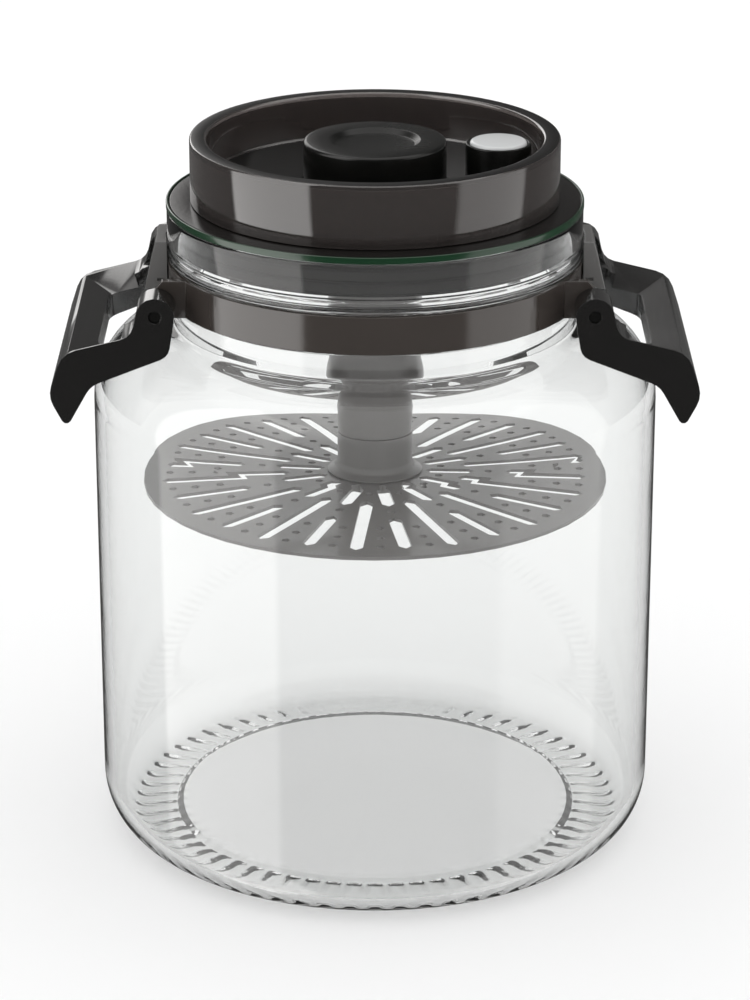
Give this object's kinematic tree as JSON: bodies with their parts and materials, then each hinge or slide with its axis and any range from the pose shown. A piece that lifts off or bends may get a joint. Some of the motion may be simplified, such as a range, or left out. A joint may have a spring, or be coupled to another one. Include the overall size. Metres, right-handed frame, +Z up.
{
  "type": "pickle storage container",
  "caption": "Clear round jar with a smoked pump lid, two hinged carrying handles on its neck band, and a slotted press plate on a telescopic tube.",
  "frame": {"origin": "centre of the standing ring, on the surface the jar stands on", "axes": "+Z up through the lid, the two handles lie on +X and -X, the front is -Y"},
  "size_m": [0.2236, 0.2, 0.2567],
  "materials": {
    "clear_glass": "clear, polished",
    "smoke_plastic": "transparent smoke, glossy",
    "dark_plastic": "dark smoke, satin",
    "black_plastic": "black, satin gloss",
    "band_plastic": "translucent smoke, glossy",
    "green_silicone": "satin",
    "pale_plastic": "satin",
    "grey_plastic": "satin",
    "white_silicone": "matte",
    "steel": "bright"
  },
  "bodies": {
    "jar": {"jar_body": "clear_glass", "neck_band": "band_plastic", "left_lug": "band_plastic", "right_lug": "band_plastic", "left_front_pin": "black_plastic", "left_back_pin": "black_plastic", "right_front_pin": "black_plastic", "right_back_pin": "black_plastic"},
    "lid": {"lid_shell": "smoke_plastic", "lid_base": "dark_plastic", "lid_gasket": "green_silicone", "pump_cylinder": "dark_plastic", "check_valve": "white_silicone", "pump_spring": "steel", "vent_housing": "black_plastic", "vent_spring": "steel", "outer_tube": "grey_plastic"},
    "plate": {"press_plate": "grey_plastic", "plate_hub": "grey_plastic", "inner_tube": "grey_plastic", "tube_seal_ring": "white_silicone", "plate_nut": "grey_plastic"},
    "pump": {"pump_knob": "black_plastic", "pump_rod": "grey_plastic", "pump_piston": "grey_plastic", "piston_seal": "white_silicone"},
    "vent": {"vent_button": "pale_plastic", "vent_stem": "grey_plastic", "vent_seal": "white_silicone"},
    "left_lever": {"left_lever": "black_plastic"},
    "right_lever": {"right_lever": "black_plastic"}
  },
  "joints": [
    {"name": "lid_lift", "type": "slide", "parent": "jar", "child": "lid", "axis": [0, 0, 1], "range_m": [0, 0.045]},
    {"name": "plate_slide", "type": "slide", "parent": "lid", "child": "plate", "axis": [0, 0, -1], "range_m": [0, 0.035]},
    {"name": "pump_press", "type": "slide", "parent": "lid", "child": "pump", "axis": [0, 0, -1], "range_m": [0, 0.008], "stiffness_N_per_m": 1200, "springref_m": -0.002, "deforming": ["pump_spring"]},
    {"name": "vent_press", "type": "slide", "parent": "lid", "child": "vent", "axis": [0, 0, -1], "range_m": [0, 0.0025], "stiffness_N_per_m": 1500, "springref_m": -0.001, "deforming": ["vent_spring"]},
    {"name": "right_lever_pivot", "type": "hinge", "parent": "jar", "child": "right_lever", "pos_m": [0.0752, 0, 0.205], "axis": [0, -1, 0], "range_deg": [0, 90]},
    {"name": "left_lever_pivot", "type": "hinge", "parent": "jar", "child": "left_lever", "pos_m": [-0.0752, 0, 0.205], "axis": [0, 1, 0], "range_deg": [0, 90]}
  ]
}
